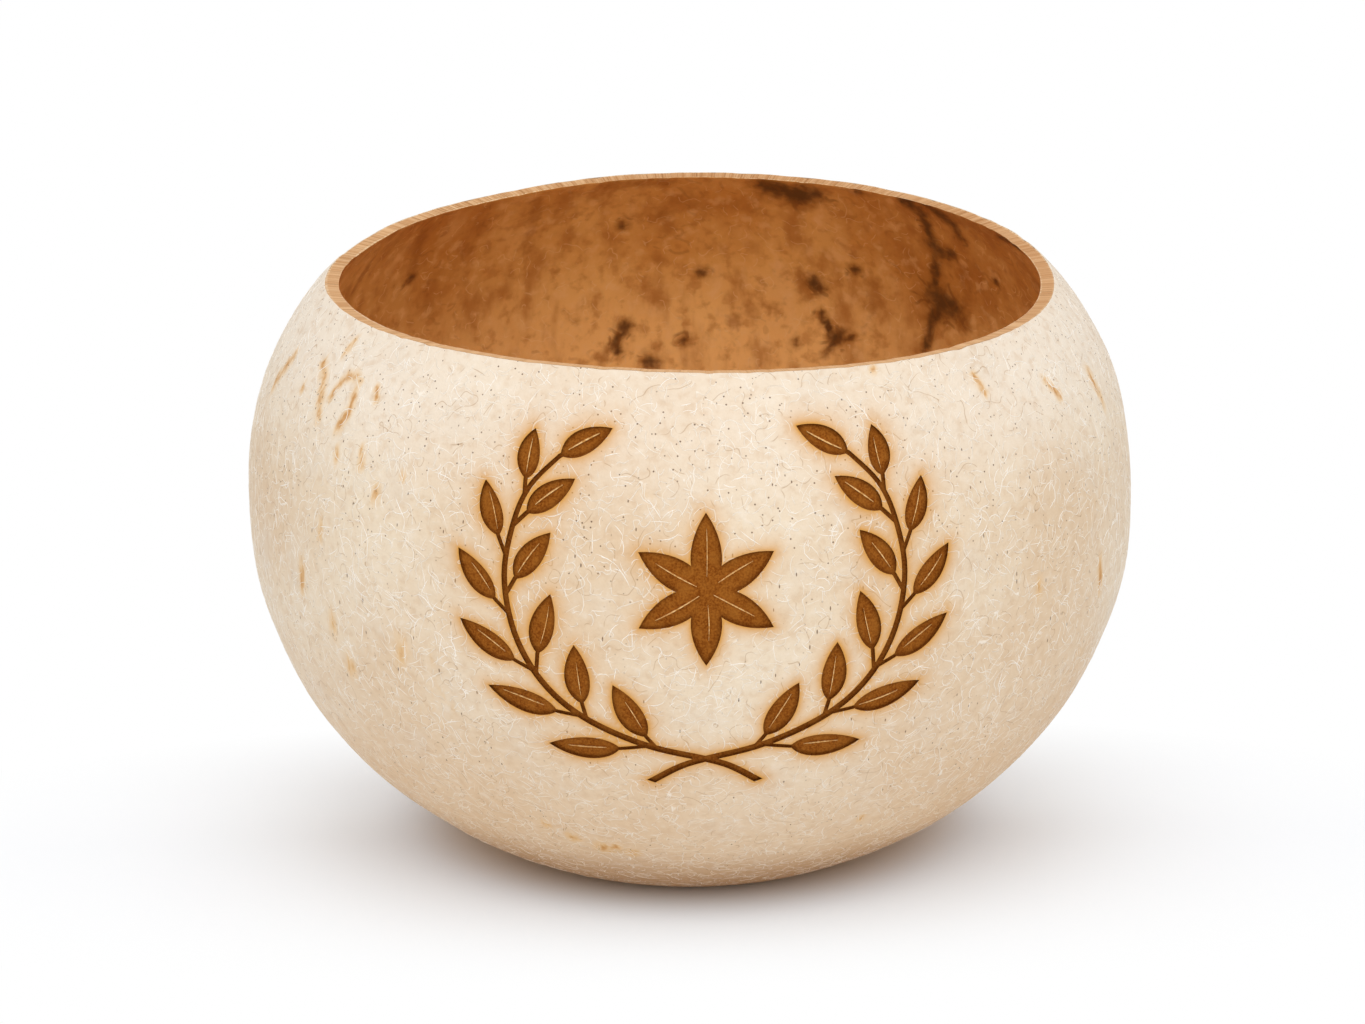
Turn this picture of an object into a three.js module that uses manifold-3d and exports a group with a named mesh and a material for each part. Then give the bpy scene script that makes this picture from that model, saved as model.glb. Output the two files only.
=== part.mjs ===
// An engraved bowl: a natural half shell of brown wood under a thin pale skin. A laurel wreath with a
// rosette inside it is cut through the skin on the front, down to a browned film on the wood.
// Millimetres, +Z up. The origin is the middle of the flat that the bowl stands on, the front faces -Y.

import * as THREE from 'three';
import { mergeVertices } from 'three/addons/utils/BufferGeometryUtils.js';
import Module from 'manifold-3d';

// Outside of the bowl
const BELLY_DIAMETER = 130;
const BELLY_HEIGHT = 51;
const RIM_HEIGHT = 85.9;
const RIM_INSET = 12; // how far the rim leans in from the belly, on the radius
const BASE_DIAMETER = 54;
const BELLY_FULLNESS = 2; // power of the curve from the base to the belly: 2 is an ellipse
const SHOULDER_FULLNESS = 2.4; // and from the belly to the rim: fuller than an ellipse
const RIM_WAVE = 0.85; // the cut rim rises and falls this much
const RIM_WAVE_COUNT = 2; // times round the mouth
const RIM_LOW_AT = -16; // degrees from +X to one of the rim's low places

// Wall of the bowl
const RIM_WALL = 2.2;
const RIM_DIP = 0.4; // the cut rim slopes in: its inner edge is this much lower
const BELLY_WALL = 2.8;
const FLOOR_THICKNESS = 4;
const SKIN_THICKNESS = 0.6;
const SKIN_LIFT = 0.3; // the skin stops this far above the table
const BURN_THICKNESS = 0.2;
const BOND_CLEARANCE = 0.05; // between two layers, and round the burnt film in its cut

// Laurel wreath, drawn flat on the plane of X and Z and cut straight in from the front
const WREATH_BELOW_RIM = 25.8; // from the mean rim down to the middle of the wreath
const WREATH_WIDTH = 53.7; // across the two stems
const STEM_TAIL_WIDTH = 1.05;
const STEM_BODY_WIDTH = 0.98; // a stem stays near this width and thins towards its tip
const STEM_TIP_WIDTH = 0.52;
const STEM_TAIL_SLANT = 31; // degrees that the end of a tail is cut aslant
const STALK_WIDTH = 0.55;
const STALK_BEND = 8; // degrees that a stalk leans out from its leaf
const LEAF_TIP_WIDTH = 2.9; // the leaves at the branch's tip
const LEAF_TAIL_WIDTH = 3.5; // the leaves near the crossing
const LEAF_BOW = 0.2; // a leaf's outer side is this much fuller than half its width
const LEAF_BASE_HANDLE = 0.18; // handles of a leaf's side curves, as shares of its length
const LEAF_POINT_HANDLE = 0.63;

// The left stem from its tail, over the crossing, to its tip: across and up from the wreath's middle,
// in hundredths of the wreath's width
const STEM_ROUTE = [
  [13.6, -54],
  [6.8, -49.2],
  [0, -46.5],
  [-15.2, -42.3],
  [-30.7, -35],
  [-40.9, -26],
  [-47.6, -13.8],
  [-50, 0.9],
  [-47.4, 14.7],
  [-43.1, 23.7],
  [-35.7, 31.1],
];

// Leaves of one branch from its tip down: distance along the stem, stalk and leaf in hundredths of the
// wreath's width, heading in degrees
const INNER_LEAVES = [
  { along: 0.6, heading: 28, stalk: 0.6, length: 14.7 },
  { along: 21.8, heading: 37, stalk: 5, length: 15.2 },
  { along: 39.5, heading: 54, stalk: 5, length: 15.4 },
  { along: 61.1, heading: 78, stalk: 5.6, length: 16.4 },
  { along: 78.3, heading: 97, stalk: 4.5, length: 16.2 },
  { along: 97.5, heading: 120, stalk: 4.3, length: 16.9 },
];
const OUTER_LEAVES = [
  { along: 13.5, heading: 77, stalk: 3.7, length: 11.9 },
  { along: 29.6, heading: 103, stalk: 5, length: 13.2 },
  { along: 44.5, heading: 128, stalk: 4.8, length: 14.7 },
  { along: 60.2, heading: 147, stalk: 5.2, length: 16.4 },
  { along: 76.8, heading: 165, stalk: 6.1, length: 18 },
  { along: 95.4, heading: 181, stalk: 7.2, length: 18 },
];

// Rosette in the middle of the wreath
const PETAL_COUNT = 6;
const PETAL_LENGTH = 10.4;
const PETAL_WIDTH = 4.2;
const ROSETTE_EYE_DIAMETER = 2.6;

// Facets
const SIDES = 60;
const LOWER_RINGS = 8;
const UPPER_RINGS = 5;
const STEM_STEPS = 30;
const CURVE_STEPS = 6;

const wasm = await Module();
wasm.setup();

const bellyRadius = BELLY_DIAMETER / 2;
const rimRadius = bellyRadius - RIM_INSET;
const shoulder = RIM_HEIGHT - BELLY_HEIGHT;
const wreathHeight = RIM_HEIGHT - WREATH_BELOW_RIM;
const hundredth = WREATH_WIDTH / 100;
const degrees = THREE.MathUtils.degToRad;

// What is left of the width of a rounded curve at a share of its half height
function fullness(share, power) {
  return (1 - share ** power) ** (1 / power);
}

// Half height of a rounded curve that is `wide` at its middle and has come in to `end` after `rise`
function reach(wide, end, rise, power) {
  return rise / fullness(end / wide, power);
}

const lowerReach = reach(bellyRadius, BASE_DIAMETER / 2, BELLY_HEIGHT, BELLY_FULLNESS);
const upperReach = reach(bellyRadius, rimRadius, shoulder, SHOULDER_FULLNESS);

// Radius, at a height, of the surface that lies `depth` inside the outside of the bowl
function radiusAt(height, depth) {
  const wide = bellyRadius - depth;
  if (height < BELLY_HEIGHT) {
    return wide * fullness((BELLY_HEIGHT - height) / (lowerReach - depth), BELLY_FULLNESS);
  }
  return wide * fullness((height - BELLY_HEIGHT) / (upperReach - depth), SHOULDER_FULLNESS);
}

// Ring heights from the table to the rim, closer together where the outside curves in
function ringHeights() {
  const heights = [];
  const lowAngle = Math.asin(BELLY_HEIGHT / lowerReach);
  for (let i = 0; i < LOWER_RINGS; i++) {
    heights.push(BELLY_HEIGHT - lowerReach * Math.sin(lowAngle * (1 - i / LOWER_RINGS)));
  }
  const highAngle = Math.asin(shoulder / upperReach);
  for (let i = 0; i <= UPPER_RINGS; i++) {
    heights.push(BELLY_HEIGHT + upperReach * Math.sin((highAngle * i) / UPPER_RINGS));
  }
  return heights;
}

// Height of the sloping rim at a radius
function rimHeightAt(radius) {
  return RIM_HEIGHT - (RIM_DIP * (rimRadius - radius)) / RIM_WALL;
}

// Side view of the surface `depth` inside the outside, from `lowest` up to the rim
function outline(depth, lowest) {
  const heights = ringHeights();
  heights[0] = lowest;
  heights[heights.length - 1] = rimHeightAt(radiusAt(RIM_HEIGHT, depth));
  return heights.map((height) => new THREE.Vector2(radiusAt(height, depth), height));
}

// Side view of the inside of the bowl, from the rim down to the middle of the floor
function insideOutline() {
  const points = [];
  const wide = bellyRadius - BELLY_WALL;
  const rise = shoulder - RIM_DIP;
  const tall = reach(wide, rimRadius - RIM_WALL, rise, SHOULDER_FULLNESS);
  const highAngle = Math.asin(rise / tall);
  for (let i = UPPER_RINGS; i > 0; i--) {
    const share = Math.sin((highAngle * i) / UPPER_RINGS);
    const radius = wide * fullness(share, SHOULDER_FULLNESS);
    points.push(new THREE.Vector2(radius, BELLY_HEIGHT + tall * share));
  }
  const deep = BELLY_HEIGHT - FLOOR_THICKNESS;
  for (let i = 0; i < LOWER_RINGS; i++) {
    const angle = ((Math.PI / 2) * i) / LOWER_RINGS;
    points.push(new THREE.Vector2(wide * Math.cos(angle), BELLY_HEIGHT - deep * Math.sin(angle)));
  }
  points.push(new THREE.Vector2(0, FLOOR_THICKNESS));
  return points;
}

// A closed solid of a geometry, its shared corners merged and its empty triangles left out
function solidOf(geometry) {
  geometry.deleteAttribute('normal');
  geometry.deleteAttribute('uv');
  const merged = mergeVertices(geometry);
  const index = merged.index.array;
  const triangles = [];
  for (let i = 0; i < index.length; i += 3) {
    const [a, b, c] = [index[i], index[i + 1], index[i + 2]];
    if (a !== b && b !== c && c !== a) {
      triangles.push(a, b, c);
    }
  }
  const vertProperties = new Float32Array(merged.attributes.position.array);
  const triVerts = new Uint32Array(triangles);
  return new wasm.Manifold(new wasm.Mesh({ numProp: 3, vertProperties, triVerts }));
}

// A profile turned about Z, with the slow wave of the cut rim let in above the belly
function turned(profile) {
  const geometry = new THREE.LatheGeometry(profile, SIDES);
  geometry.rotateX(Math.PI / 2);
  const place = geometry.attributes.position;
  for (let i = 0; i < place.count; i++) {
    const share = Math.max(0, (place.getZ(i) - BELLY_HEIGHT) / shoulder);
    const angle = Math.atan2(place.getY(i), place.getX(i)) - degrees(RIM_LOW_AT);
    place.setZ(i, place.getZ(i) - RIM_WAVE * share ** 2 * Math.cos(RIM_WAVE_COUNT * angle));
  }
  return solidOf(geometry);
}

// A layer of the wall between two depths below the outside, open at the base and at the mouth
function layer(outerDepth, innerDepth) {
  const outer = outline(outerDepth, SKIN_LIFT);
  const inner = outline(innerDepth, SKIN_LIFT).reverse();
  return turned([...outer, ...inner, outer[0]]);
}

// A flat drawing made a beam, from the bowl's axis out through its front wall
function beam(shape) {
  const settings = { depth: BELLY_DIAMETER, bevelEnabled: false, curveSegments: CURVE_STEPS };
  const geometry = new THREE.ExtrudeGeometry(shape, settings);
  geometry.rotateX(Math.PI / 2);
  return solidOf(geometry);
}

// Width of a stem at a share of its length from the tail
function stemWidth(share) {
  const near = THREE.MathUtils.lerp(STEM_TAIL_WIDTH, STEM_BODY_WIDTH, share);
  const far = THREE.MathUtils.lerp(STEM_BODY_WIDTH, STEM_TIP_WIDTH, share);
  return THREE.MathUtils.lerp(near, far, share);
}

// A strip along points of the drawing, as wide as `widthAt` gives at a share of its length and drawn in
// on all sides by `inset`; its start is cut aslant by `slant`
function strip(points, widthAt, inset, slant) {
  const last = points.length - 1;
  const left = [];
  const right = [];
  points.forEach((point, i) => {
    const before = points[Math.max(0, i - 1)];
    const after = points[Math.min(last, i + 1)];
    const along = after.clone().sub(before).normalize();
    const half = widthAt(i / last) / 2 - inset;
    const across = new THREE.Vector2(-along.y, along.x).multiplyScalar(half);
    const trim = (i === 0 ? inset / Math.cos(slant) : 0) - (i === last ? inset : 0);
    const lead = i === 0 ? half * Math.tan(slant) : 0;
    const middle = point.clone().addScaledVector(along, trim);
    left.push(middle.clone().add(across).addScaledVector(along, lead));
    right.unshift(middle.clone().sub(across).addScaledVector(along, -lead));
  });
  return new THREE.Shape([...left, ...right]);
}

// A pointed leaf from its base along a heading, fuller by `bow` on its left side than on its right
function leaf(base, heading, length, width, bow, inset) {
  const place = (along, side) => {
    return new THREE.Vector2(along, side).rotateAround(new THREE.Vector2(), heading).add(base);
  };
  const endInset = 3 * inset; // a pointed end draws in faster than a side
  const handleHeight = 4 / 3; // a cubic curve rises to three quarters of its level handles
  const left = (width / 2 + bow - inset) * handleHeight;
  const right = (width / 2 - bow - inset) * handleHeight;
  const [nearBase, nearPoint] = [LEAF_BASE_HANDLE * length, LEAF_POINT_HANDLE * length];
  const start = place(endInset, 0);
  const tip = place(length - endInset, 0);
  const shape = new THREE.Shape();
  shape.moveTo(start.x, start.y);
  shape.bezierCurveTo(...place(nearBase, left), ...place(nearPoint, left), ...tip);
  shape.bezierCurveTo(...place(nearPoint, -right), ...place(nearBase, -right), ...start);
  return shape;
}

// One laurel branch, the left one for a side of 1 and its mirror image for a side of -1
function branchShapes(side, inset) {
  const route = STEM_ROUTE.map(([across, up]) => {
    return new THREE.Vector2(side * across * hundredth, wreathHeight + up * hundredth);
  });
  const stem = new THREE.SplineCurve(route);
  const stemLength = stem.getLength();
  const slant = side * degrees(STEM_TAIL_SLANT);
  const shapes = [strip(stem.getSpacedPoints(STEM_STEPS), stemWidth, inset, slant)];
  for (const leaves of [INNER_LEAVES, OUTER_LEAVES]) {
    leaves.forEach(({ along, heading, stalk, length }, i) => {
      const joint = stem.getPointAt(1 - (along * hundredth) / stemLength);
      const turn = side > 0 ? degrees(heading) : Math.PI - degrees(heading);
      const lean = turn + side * degrees(STALK_BEND);
      const base = new THREE.Vector2(stalk * hundredth, 0);
      base.rotateAround(new THREE.Vector2(), lean).add(joint);
      const heart = new THREE.Vector2((length * hundredth) / 2, 0);
      heart.rotateAround(new THREE.Vector2(), turn).add(base);
      const width = THREE.MathUtils.lerp(LEAF_TIP_WIDTH, LEAF_TAIL_WIDTH, i / (leaves.length - 1));
      shapes.push(leaf(base, turn, length * hundredth, width, side * LEAF_BOW, inset));
      shapes.push(strip([joint, base, heart], () => STALK_WIDTH, inset, 0));
    });
  }
  return shapes;
}

function laurelShapes(inset) {
  return [...branchShapes(1, inset), ...branchShapes(-1, inset)];
}

function rosetteShapes(inset) {
  const middle = new THREE.Vector2(0, wreathHeight);
  const eye = new THREE.Shape();
  eye.absarc(middle.x, middle.y, ROSETTE_EYE_DIAMETER / 2 - inset, 0, 2 * Math.PI);
  const shapes = [eye];
  for (let i = 0; i < PETAL_COUNT; i++) {
    const heading = Math.PI / 2 + (2 * Math.PI * i) / PETAL_COUNT;
    shapes.push(leaf(middle, heading, PETAL_LENGTH, PETAL_WIDTH, 0, inset));
  }
  return shapes;
}

function beamOf(shapes) {
  return shapes.map(beam).reduce((whole, next) => whole.add(next));
}

function woodyShell() {
  const outer = outline(SKIN_THICKNESS + BOND_CLEARANCE, 0);
  return turned([new THREE.Vector2(0, 0), ...outer, ...insideOutline()]);
}

function paleSkin() {
  const cuts = beamOf([...laurelShapes(0), ...rosetteShapes(0)]);
  return layer(0, SKIN_THICKNESS).subtract(cuts);
}

// The browned film at the bottom of a cut
function burn(drawing) {
  const film = layer(SKIN_THICKNESS - BURN_THICKNESS, SKIN_THICKNESS);
  return film.intersect(beamOf(drawing(BOND_CLEARANCE)));
}

function piece(name, solid, color, roughness) {
  const { vertProperties, triVerts } = solid.getMesh();
  const geometry = new THREE.BufferGeometry();
  geometry.setAttribute('position', new THREE.BufferAttribute(vertProperties, 3));
  geometry.setIndex(new THREE.BufferAttribute(triVerts, 1));
  geometry.computeVertexNormals();
  const mesh = new THREE.Mesh(geometry, new THREE.MeshStandardMaterial({ color, roughness, metalness: 0 }));
  mesh.name = name;
  return mesh;
}

const bowl = new THREE.Group();
bowl.add(piece('woody_shell', woodyShell(), 0x95581f, 0.5));
bowl.add(piece('pale_skin', paleSkin(), 0xe6cfb5, 0.6));
bowl.add(piece('laurel_burn', burn(laurelShapes), 0x7a4112, 0.85));
bowl.add(piece('rosette_burn', burn(rosetteShapes), 0x7a4112, 0.85));

export default bowl;
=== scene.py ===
# %% [markdown]
# # An engraved bowl from a natural half shell
# The bowl is a little more than half of a big nut shell. Its maker sawed the shell through above its
# widest place, scraped the outside down to a pale, papery skin and the inside down to smooth brown
# wood, and burned a laurel wreath with a rosette through the skin at the front. This lesson dresses
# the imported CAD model: every piece stays where the model has it, and gains the surface of the real bowl.

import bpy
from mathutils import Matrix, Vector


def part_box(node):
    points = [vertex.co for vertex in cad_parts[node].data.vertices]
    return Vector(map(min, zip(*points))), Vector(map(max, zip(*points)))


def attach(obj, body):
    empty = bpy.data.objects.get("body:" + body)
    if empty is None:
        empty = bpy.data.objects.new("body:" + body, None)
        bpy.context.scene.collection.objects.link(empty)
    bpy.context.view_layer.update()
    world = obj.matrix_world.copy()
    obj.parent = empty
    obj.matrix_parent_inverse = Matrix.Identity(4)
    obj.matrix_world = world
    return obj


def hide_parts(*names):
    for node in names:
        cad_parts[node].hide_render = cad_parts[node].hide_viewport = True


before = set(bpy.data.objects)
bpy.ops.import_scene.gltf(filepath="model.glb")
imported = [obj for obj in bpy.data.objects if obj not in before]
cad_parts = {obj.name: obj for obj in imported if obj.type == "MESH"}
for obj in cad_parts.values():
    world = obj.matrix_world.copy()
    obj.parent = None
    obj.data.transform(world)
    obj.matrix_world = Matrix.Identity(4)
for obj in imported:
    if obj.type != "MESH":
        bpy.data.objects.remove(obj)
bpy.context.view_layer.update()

# %% [markdown]
# ## Sizes
# The widest radius and the rim's height are read from the frame. The rest of the shape follows from a
# few sizes of the model: two rounded curves meet at the belly, an ellipse below it and a fuller curve
# above it. A slow wave lifts and lowers the sawn rim, because the shell isn't quite round. The rim slopes
# in by a quarter of a millimetre, and its front is raised by as much.

# %% Sizes of the bowl
import math

import numpy as np

MM = 0.001
skin_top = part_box("pale_skin")[1]
BELLY_RADIUS = skin_top.x
RIM_WAVE = 0.85 * MM
RIM_HEIGHT = skin_top.z - RIM_WAVE
BELLY_HEIGHT = 51 * MM
RIM_RADIUS = BELLY_RADIUS - 12 * MM
BASE_RADIUS = 27 * MM
RIM_WALL = 2.2 * MM
RIM_DIP = 0.25 * MM
FRONT_RISE = 0.25 * MM
RIM_LOW_AT = math.radians(-16)
BELLY_FULLNESS = 2.0
SHOULDER_FULLNESS = 2.4


def fullness(share, power):
    """What is left of the width of a rounded curve at a share of its half height."""
    return (1 - share ** power) ** (1 / power)


def reach(wide, end, rise, power):
    """Half height of a rounded curve that is wide at its middle and has come in to end after a rise."""
    return rise / fullness(end / wide, power)


def curve_radius(height, wide, deep, tall):
    """Radius at each height of a side view: wide at the belly, closed deep below and tall above it."""
    below = fullness(np.clip((BELLY_HEIGHT - height) / deep, 0, 1), BELLY_FULLNESS)
    above = fullness(np.clip((height - BELLY_HEIGHT) / tall, 0, 1), SHOULDER_FULLNESS)
    return wide * below * above


# %% Outside of the bowl
LOWER_REACH = reach(BELLY_RADIUS, BASE_RADIUS, BELLY_HEIGHT, BELLY_FULLNESS)
UPPER_REACH = reach(BELLY_RADIUS, RIM_RADIUS, RIM_HEIGHT - BELLY_HEIGHT, SHOULDER_FULLNESS)


def outside_radius(height, depth=0.0):
    """Radius of the surface that lies depth below the outside, at each height."""
    return curve_radius(height, BELLY_RADIUS - depth, LOWER_REACH - depth, UPPER_REACH - depth)


print("Rim radius from the curve in mm:", round(1000 * float(outside_radius(RIM_HEIGHT)), 2))

# %% [markdown]
# ## The form that grew
# A shell grows with slow swells, a tenth of a millimetre or two high and a few centimetres long. One
# function gives them, and the rim's wave, to all the layers alike, so that the layers stay together. The
# swells fade out towards the base, where sanding made a true flat. The saw left the last millimetre below
# the rim slightly ragged, so seeded waves round the mouth lower it here and there.

# %% Natural form
SWELL = 0.1 * MM
SWELL_WAVES = 24
RAGGED = 0.07 * MM
RAGGED_WAVES = 18
SANDED_HEIGHT = 8 * MM
swell_chance = np.random.default_rng(11)
swell_ways = swell_chance.normal(size=(SWELL_WAVES, 3))
swell_ways /= np.linalg.norm(swell_ways, axis=1)[:, None]
swell_ways *= 2 * math.pi / swell_chance.uniform(14 * MM, 45 * MM, SWELL_WAVES)[:, None]
swell_starts = swell_chance.uniform(0, 2 * math.pi, SWELL_WAVES)
ragged_counts = swell_chance.integers(14, 130, RAGGED_WAVES)
ragged_starts = swell_chance.uniform(0, 2 * math.pi, RAGGED_WAVES)


def natural(points):
    """Bends turned points to the shell's own form."""
    x, y, z = points.T
    share = np.clip((z - BELLY_HEIGHT) / (RIM_HEIGHT - BELLY_HEIGHT), 0, None)
    angle = np.arctan2(y, x)
    wave = RIM_WAVE * share ** 2 * np.cos(2 * (angle - RIM_LOW_AT))
    wave -= FRONT_RISE * share ** 2 * np.clip(-np.sin(angle), 0, 1) ** 2
    nicks = np.sin(angle[:, None] * ragged_counts + ragged_starts).sum(axis=1) / math.sqrt(RAGGED_WAVES / 2)
    wave += RAGGED * np.clip(nicks, 0, None) * np.clip(1 - (RIM_HEIGHT - z) / MM, 0, 1)
    swell = SWELL * np.sin(points @ swell_ways.T + swell_starts).sum(axis=1) / math.sqrt(SWELL_WAVES / 2)
    outward = points - np.array([0, 0, BELLY_HEIGHT])
    outward /= np.linalg.norm(outward, axis=1)[:, None] + 1e-9
    bent = points + (swell * np.clip(z / SANDED_HEIGHT, 0, 1))[:, None] * outward
    bent[:, 2] -= wave
    return bent


probe = natural(np.array([[0.0, -RIM_RADIUS, RIM_HEIGHT], [RIM_RADIUS, 0.0, RIM_HEIGHT]]))
print("Rim height in mm, front and right:", np.round(1000 * probe[:, 2], 2))

# %% [markdown]
# ## Turned layers
# Skin, wood and the burnt film are layers of one wall, so each starts as a side view that is spun about
# the bowl's axis. The front half is spun in finer steps than the back, because the engraving and the
# stains need a close mesh there.

# %% Objects and their points
import bmesh
import bpy
from mathutils import Vector


def new_object(name, data):
    """An object in the scene for a mesh, curve or lamp."""
    thing = bpy.data.objects.new(name, data)
    bpy.context.scene.collection.objects.link(thing)
    return thing


def make_piece(name, bm):
    """An object made from a bmesh."""
    mesh = bpy.data.meshes.new(name)
    bm.to_mesh(mesh)
    bm.free()
    return new_object(name, mesh)


def applied(piece):
    """The mesh of a piece with its modifiers applied; the piece itself goes."""
    shaped = piece.evaluated_get(bpy.context.evaluated_depsgraph_get())
    mesh = bpy.data.meshes.new_from_object(shaped)
    bpy.data.objects.remove(piece)
    return mesh


# %% Turn a side view into a layer
FRONT_HALF = math.radians(84)
FINE_FRONT = [(-math.pi / 2 - FRONT_HALF, 2 * FRONT_HALF, 300),
              (-math.pi / 2 + FRONT_HALF, 2 * (math.pi - FRONT_HALF), 72)]
EVEN_TURN = [(0, 2 * math.pi, 360)]


def turned(profile, sectors):
    """A bmesh of a side view, radius and height of each point, turned about Z in sectors."""
    whole = bmesh.new()
    for start, sweep, steps in sectors:
        bm = bmesh.new()
        way = Vector((math.cos(start), math.sin(start), 0))
        verts = [bm.verts.new(radius * way + Vector((0, 0, height))) for radius, height in profile]
        for pair in zip(verts, verts[1:]):
            bm.edges.new(pair)
        side_view = make_piece("side_view", bm)
        turn = side_view.modifiers.new("turn", "SCREW")
        turn.angle = sweep
        turn.steps = turn.render_steps = steps
        whole.from_mesh(applied(side_view))
    bmesh.ops.remove_doubles(whole, verts=whole.verts, dist=0.001 * MM)
    bmesh.ops.recalc_face_normals(whole, faces=whole.faces)
    return whole


def ring_edges(bm, radius, height):
    """The edges of the ring at a radius and height."""
    def on_ring(vert):
        return abs(vert.co.xy.length - radius) < 0.01 * MM and abs(vert.co.z - height) < 0.01 * MM
    return [edge for edge in bm.edges if all(on_ring(vert) for vert in edge.verts)]


def round_ring(bm, radius, height, offset):
    """Rounds the sharp ring at a radius and height."""
    bmesh.ops.bevel(bm, geom=ring_edges(bm, radius, height), offset=offset, offset_type="OFFSET",
                    segments=3, profile=0.5, affect="EDGES", material=-1)


# %% [markdown]
# A mesh reads and writes all its points as one array, so bending a layer takes no loop over vertices.

# %% Bend a layer
def coordinates(piece):
    """All the points of a piece as an array."""
    flat = np.empty(3 * len(piece.data.vertices))
    piece.data.vertices.foreach_get("co", flat)
    return flat.reshape(-1, 3)


def make_layer(name, bm, *materials):
    """A piece of the wall, bent to the shell's natural form, with its finishes."""
    piece = make_piece(name, bm)
    piece.data.vertices.foreach_set("co", natural(coordinates(piece)).ravel())
    for material in materials:
        piece.data.materials.append(material)
    piece.data.shade_smooth()
    return piece


def report(piece):
    """Prints a piece's size and triangle count."""
    points = 1000 * coordinates(piece)
    triangles = sum(len(face.vertices) - 2 for face in piece.data.polygons)
    print(piece.name, "mm:", np.round(np.ptp(points, axis=0), 1), "triangles:", triangles)


# %% [markdown]
# ## The drawing
# The wreath was drawn flat and burned straight in from the front, so its outlines are points across and
# up. Each stem is a smooth curve through eleven points, given in hundredths of the wreath's width, and
# the right branch is the mirror image of the left one. A stem thins towards its tip, and its tail is cut
# aslant. A leaf is two curves from its heel to its point, and the side that faces away from the stem's tip
# is a little fuller.

# %% Sizes of the drawing
WREATH_HEIGHT = RIM_HEIGHT - 25.8 * MM
WREATH_WIDTH = 53.7 * MM
HUNDREDTH = WREATH_WIDTH / 100
STEM_ROUTE = [(13.6, -54), (6.8, -49.2), (0, -46.5), (-15.2, -42.3), (-30.7, -35), (-40.9, -26),
              (-47.6, -13.8), (-50, 0.9), (-47.4, 14.7), (-43.1, 23.7), (-35.7, 31.1)]
STEM_WIDTHS = (1.05 * MM, 0.98 * MM, 0.52 * MM)
TAIL_SLANT = math.radians(31)
STALK_WIDTHS = (0.55 * MM, 0.55 * MM, 0.55 * MM)
STALK_BEND = math.radians(8)
LEAF_WIDTHS = (2.9 * MM, 3.5 * MM)
LEAF_BOW = 0.2 * MM
print("Wreath's middle in mm:", round(1000 * WREATH_HEIGHT, 1))

# %% [markdown]
# The leaves are listed from the branch's tip down: distance along the stem, heading in degrees, and the
# lengths of stalk and leaf.

# %% Leaves of one branch
INNER_LEAVES = [(0.6, 28, 0.6, 14.7), (21.8, 37, 5, 15.2), (39.5, 54, 5, 15.4),
                (61.1, 78, 5.6, 16.4), (78.3, 97, 4.5, 16.2), (97.5, 120, 4.3, 16.9)]
OUTER_LEAVES = [(13.5, 77, 3.7, 11.9), (29.6, 103, 5, 13.2), (44.5, 128, 4.8, 14.7),
                (60.2, 147, 5.2, 16.4), (76.8, 165, 6.1, 18), (95.4, 181, 7.2, 18)]
PETALS = 6
PETAL_LENGTH = 10.4 * MM
PETAL_WIDTH = 4.2 * MM
EYE_RADIUS = 1.3 * MM
print("Leaves on a branch:", len(INNER_LEAVES + OUTER_LEAVES))

# %% [markdown]
# Blender's own Bezier helper gives points along a curve. A curve through a row of points has a handle a
# sixth of the way between its neighbours, and a leaf's sides have level handles.

# %% Curves of the drawing
from mathutils import Matrix, geometry


def smooth_line(places, steps):
    """Points along a smooth curve through the given places."""
    ends = [places[0], *places, places[-1]]
    line = [places[0]]
    for before, start, end, after in zip(ends, ends[1:], ends[2:], ends[3:]):
        handles = start + (end - before) / 6, end - (after - start) / 6
        line += geometry.interpolate_bezier(start, *handles, end, steps)[1:]
    return line


def place_along(line, distance):
    """The point at a distance from the start of a line of points."""
    for start, end in zip(line, line[1:]):
        step = (end - start).length
        if distance <= step:
            return start.lerp(end, distance / step)
        distance -= step
    return line[-1]


def strip(line, widths, slant=0.0):
    """Outline of a strip along a line of points: width at its start, body and end, start cut aslant."""
    left, right = [], []
    for i, place in enumerate(line):
        along = (line[min(i + 1, len(line) - 1)] - line[max(i - 1, 0)]).normalized()
        share = i / (len(line) - 1)
        near = widths[0] + (widths[1] - widths[0]) * share
        far = widths[1] + (widths[2] - widths[1]) * share
        half = (near + (far - near) * share) / 2
        across = Vector((-along.y, along.x)) * half
        if i == 0:
            across += along * half * math.tan(slant)
        left.append(place + across)
        right.insert(0, place - across)
    return left + right


def leaf(heel, heading, length, width, bow):
    """Outline of a pointed leaf from its heel along a heading."""
    turn = Matrix.Rotation(heading, 2)

    def side(height):
        knots = [(0, 0), (0.18 * length, 4 / 3 * height), (0.63 * length, 4 / 3 * height), (length, 0)]
        return geometry.interpolate_bezier(*[heel + turn @ Vector(knot) for knot in knots], 14)
    return side(width / 2 + bow) + side(bow - width / 2)[-2:0:-1]


# %% [markdown]
# One branch gives its stem, its stalks and its leaves. Each leaf is kept with its heel, heading and
# length as well, because the vein that was left standing in its middle follows from them.

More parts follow.
